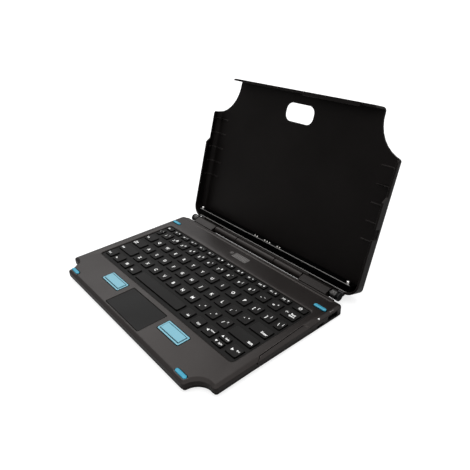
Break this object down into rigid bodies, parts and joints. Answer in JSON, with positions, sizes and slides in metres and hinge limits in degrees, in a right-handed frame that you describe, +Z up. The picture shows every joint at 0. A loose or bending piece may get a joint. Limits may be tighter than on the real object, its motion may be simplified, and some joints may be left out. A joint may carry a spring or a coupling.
{
  "type": "tablet keyboard case",
  "caption": "Keyboard base with trackpad and blue mouse buttons, hinged to a tray-shaped tablet cover with a contact bar, a camera opening and scooped top corners.",
  "frame": {"origin": "on the desk under the middle of the keyboard deck, at the underside of the centre foot", "axes": "+X to the right across the keys, +Y to the back towards the cover, +Z up"},
  "size_m": [0.262, 0.2492, 0.1776],
  "materials": {
    "deck_plastic": "satin warm dark grey moulded plastic with a fine spark texture",
    "shell_plastic": "matte black moulded polycarbonate with a fine grain",
    "steel": "satin stainless steel",
    "circuit_board": "green solder mask",
    "key_rubber": "low-sheen black silicone key caps with printed white legends",
    "black_rubber": "black rubber",
    "trackpad_film": "fine matte film",
    "pale_blue_plastic": "satin pale blue plastic",
    "blue_rubber": "blue elastomer",
    "badge_grey": "satin grey plate, blank",
    "light_pipe": "clear white light pipe",
    "gold_contact": "gold-plated contacts"
  },
  "bodies": {
    "base": {"bottom_cover": "deck_plastic", "deck_cover": "deck_plastic", "key_frame": "shell_plastic", "key_tray": "steel", "dome_sheet": "black_rubber", "keyboard_board": "circuit_board", "trackpad_plate": "trackpad_film", "trackpad_board": "circuit_board", "button_switches": "circuit_board", "bumper_pads": "blue_rubber", "badge_plate": "badge_grey", "usb_a_socket": "steel", "usb_c_socket": "steel", "socket_board": "circuit_board", "status_light": "light_pipe", "rubber_feet": "black_rubber", "case_screws": "steel", "hinge_cap_left": "deck_plastic", "hinge_cap_right": "deck_plastic", "hinge_bracket_left": "steel", "hinge_bracket_right": "steel"},
    "cover": {"tablet_shell": "shell_plastic", "dock_bar": "shell_plastic", "hinge_barrel": "shell_plastic", "hinge_pins": "steel", "hinge_knuckles": "steel", "pogo_block": "shell_plastic", "pogo_pins": "gold_contact", "guide_pins": "steel", "dock_board": "circuit_board", "dock_screws": "steel"},
    "button_left": {"button_left": "pale_blue_plastic"},
    "button_right": {"button_right": "pale_blue_plastic"},
    "function_keys": {"function_keys": "key_rubber"},
    "number_keys": {"number_keys": "key_rubber"},
    "upper_letter_keys": {"upper_letter_keys": "key_rubber"},
    "home_letter_keys": {"home_letter_keys": "key_rubber"},
    "lower_letter_keys": {"lower_letter_keys": "key_rubber"},
    "key_escape": {"key_escape": "key_rubber"},
    "key_power": {"key_power": "key_rubber"},
    "key_backspace": {"key_backspace": "key_rubber"},
    "key_tab": {"key_tab": "key_rubber"},
    "key_backslash": {"key_backslash": "key_rubber"},
    "key_caps_lock": {"key_caps_lock": "key_rubber"},
    "key_enter": {"key_enter": "key_rubber"},
    "key_shift_left": {"key_shift_left": "key_rubber"},
    "key_shift_right": {"key_shift_right": "key_rubber"},
    "key_ctrl_left": {"key_ctrl_left": "key_rubber"},
    "key_fn": {"key_fn": "key_rubber"},
    "key_menu": {"key_menu": "key_rubber"},
    "key_alt_left": {"key_alt_left": "key_rubber"},
    "key_space": {"key_space": "key_rubber"},
    "key_alt_right": {"key_alt_right": "key_rubber"},
    "key_ctrl_right": {"key_ctrl_right": "key_rubber"},
    "key_left": {"key_left": "key_rubber"},
    "key_up": {"key_up": "key_rubber"},
    "key_down": {"key_down": "key_rubber"},
    "key_right": {"key_right": "key_rubber"}
  },
  "joints": [
    {"name": "cover_hinge", "type": "hinge", "parent": "base", "child": "cover", "pos_m": [0, 0.0938, 0.0092], "axis": [1, 0, 0], "range_deg": [-8, 107.2]},
    {"name": "button_left_press", "type": "slide", "parent": "base", "child": "button_left", "axis": [0, 0, -1], "range_m": [0, 0.0008], "stiffness_N_per_m": 600, "springref_m": -0.0005},
    {"name": "button_right_press", "type": "slide", "parent": "base", "child": "button_right", "axis": [0, 0, -1], "range_m": [0, 0.0008], "stiffness_N_per_m": 600, "springref_m": -0.0005},
    {"name": "function_keys_press", "type": "slide", "parent": "base", "child": "function_keys", "axis": [0, 0, -1], "range_m": [0, 0.0015], "stiffness_N_per_m": 400, "springref_m": -0.0005},
    {"name": "number_keys_press", "type": "slide", "parent": "base", "child": "number_keys", "axis": [0, 0, -1], "range_m": [0, 0.0015], "stiffness_N_per_m": 400, "springref_m": -0.0005},
    {"name": "upper_letter_keys_press", "type": "slide", "parent": "base", "child": "upper_letter_keys", "axis": [0, 0, -1], "range_m": [0, 0.0015], "stiffness_N_per_m": 400, "springref_m": -0.0005},
    {"name": "home_letter_keys_press", "type": "slide", "parent": "base", "child": "home_letter_keys", "axis": [0, 0, -1], "range_m": [0, 0.0015], "stiffness_N_per_m": 400, "springref_m": -0.0005},
    {"name": "lower_letter_keys_press", "type": "slide", "parent": "base", "child": "lower_letter_keys", "axis": [0, 0, -1], "range_m": [0, 0.0015], "stiffness_N_per_m": 400, "springref_m": -0.0005},
    {"name": "key_escape_press", "type": "slide", "parent": "base", "child": "key_escape", "axis": [0, 0, -1], "range_m": [0, 0.0015], "stiffness_N_per_m": 400, "springref_m": -0.0005},
    {"name": "key_power_press", "type": "slide", "parent": "base", "child": "key_power", "axis": [0, 0, -1], "range_m": [0, 0.0015], "stiffness_N_per_m": 400, "springref_m": -0.0005},
    {"name": "key_backspace_press", "type": "slide", "parent": "base", "child": "key_backspace", "axis": [0, 0, -1], "range_m": [0, 0.0015], "stiffness_N_per_m": 400, "springref_m": -0.0005},
    {"name": "key_tab_press", "type": "slide", "parent": "base", "child": "key_tab", "axis": [0, 0, -1], "range_m": [0, 0.0015], "stiffness_N_per_m": 400, "springref_m": -0.0005},
    {"name": "key_backslash_press", "type": "slide", "parent": "base", "child": "key_backslash", "axis": [0, 0, -1], "range_m": [0, 0.0015], "stiffness_N_per_m": 400, "springref_m": -0.0005},
    {"name": "key_caps_lock_press", "type": "slide", "parent": "base", "child": "key_caps_lock", "axis": [0, 0, -1], "range_m": [0, 0.0015], "stiffness_N_per_m": 400, "springref_m": -0.0005},
    {"name": "key_enter_press", "type": "slide", "parent": "base", "child": "key_enter", "axis": [0, 0, -1], "range_m": [0, 0.0015], "stiffness_N_per_m": 400, "springref_m": -0.0005},
    {"name": "key_shift_left_press", "type": "slide", "parent": "base", "child": "key_shift_left", "axis": [0, 0, -1], "range_m": [0, 0.0015], "stiffness_N_per_m": 400, "springref_m": -0.0005},
    {"name": "key_shift_right_press", "type": "slide", "parent": "base", "child": "key_shift_right", "axis": [0, 0, -1], "range_m": [0, 0.0015], "stiffness_N_per_m": 400, "springref_m": -0.0005},
    {"name": "key_ctrl_left_press", "type": "slide", "parent": "base", "child": "key_ctrl_left", "axis": [0, 0, -1], "range_m": [0, 0.0015], "stiffness_N_per_m": 400, "springref_m": -0.0005},
    {"name": "key_fn_press", "type": "slide", "parent": "base", "child": "key_fn", "axis": [0, 0, -1], "range_m": [0, 0.0015], "stiffness_N_per_m": 400, "springref_m": -0.0005},
    {"name": "key_menu_press", "type": "slide", "parent": "base", "child": "key_menu", "axis": [0, 0, -1], "range_m": [0, 0.0015], "stiffness_N_per_m": 400, "springref_m": -0.0005},
    {"name": "key_alt_left_press", "type": "slide", "parent": "base", "child": "key_alt_left", "axis": [0, 0, -1], "range_m": [0, 0.0015], "stiffness_N_per_m": 400, "springref_m": -0.0005},
    {"name": "key_space_press", "type": "slide", "parent": "base", "child": "key_space", "axis": [0, 0, -1], "range_m": [0, 0.0015], "stiffness_N_per_m": 400, "springref_m": -0.0005},
    {"name": "key_alt_right_press", "type": "slide", "parent": "base", "child": "key_alt_right", "axis": [0, 0, -1], "range_m": [0, 0.0015], "stiffness_N_per_m": 400, "springref_m": -0.0005},
    {"name": "key_ctrl_right_press", "type": "slide", "parent": "base", "child": "key_ctrl_right", "axis": [0, 0, -1], "range_m": [0, 0.0015], "stiffness_N_per_m": 400, "springref_m": -0.0005},
    {"name": "key_left_press", "type": "slide", "parent": "base", "child": "key_left", "axis": [0, 0, -1], "range_m": [0, 0.0015], "stiffness_N_per_m": 400, "springref_m": -0.0005},
    {"name": "key_up_press", "type": "slide", "parent": "base", "child": "key_up", "axis": [0, 0, -1], "range_m": [0, 0.0015], "stiffness_N_per_m": 400, "springref_m": -0.0005},
    {"name": "key_down_press", "type": "slide", "parent": "base", "child": "key_down", "axis": [0, 0, -1], "range_m": [0, 0.0015], "stiffness_N_per_m": 400, "springref_m": -0.0005},
    {"name": "key_right_press", "type": "slide", "parent": "base", "child": "key_right", "axis": [0, 0, -1], "range_m": [0, 0.0015], "stiffness_N_per_m": 400, "springref_m": -0.0005}
  ]
}
